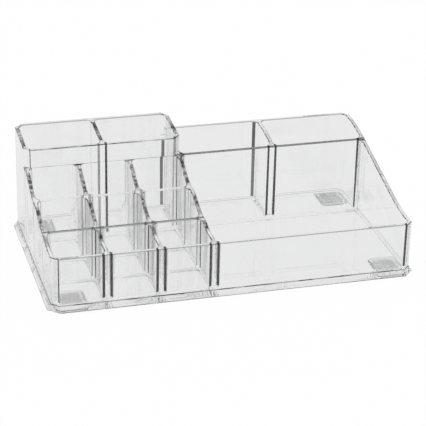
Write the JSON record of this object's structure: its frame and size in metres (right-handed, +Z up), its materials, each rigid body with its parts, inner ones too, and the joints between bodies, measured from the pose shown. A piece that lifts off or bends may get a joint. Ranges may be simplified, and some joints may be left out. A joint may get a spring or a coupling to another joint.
{
  "type": "vanity organizer",
  "caption": "Clear moulded vanity organizer with stepped small cells, tall rear pockets and a wide open tray, on a flared base with pads.",
  "frame": {"origin": "centre of the footprint, on the plane of the pads' undersides", "axes": "+X along the width towards the low open tray's side, +Y towards the tall back, +Z up"},
  "size_m": [0.24, 0.138, 0.0745],
  "materials": {
    "clear_moulding": "gloss",
    "pad_rubber": "satin"
  },
  "bodies": {
    "root": {"organizer_body": "clear_moulding", "foot_front_left": "pad_rubber", "foot_front_right": "pad_rubber", "foot_back_left": "pad_rubber", "foot_back_right": "pad_rubber"}
  },
  "joints": []
}
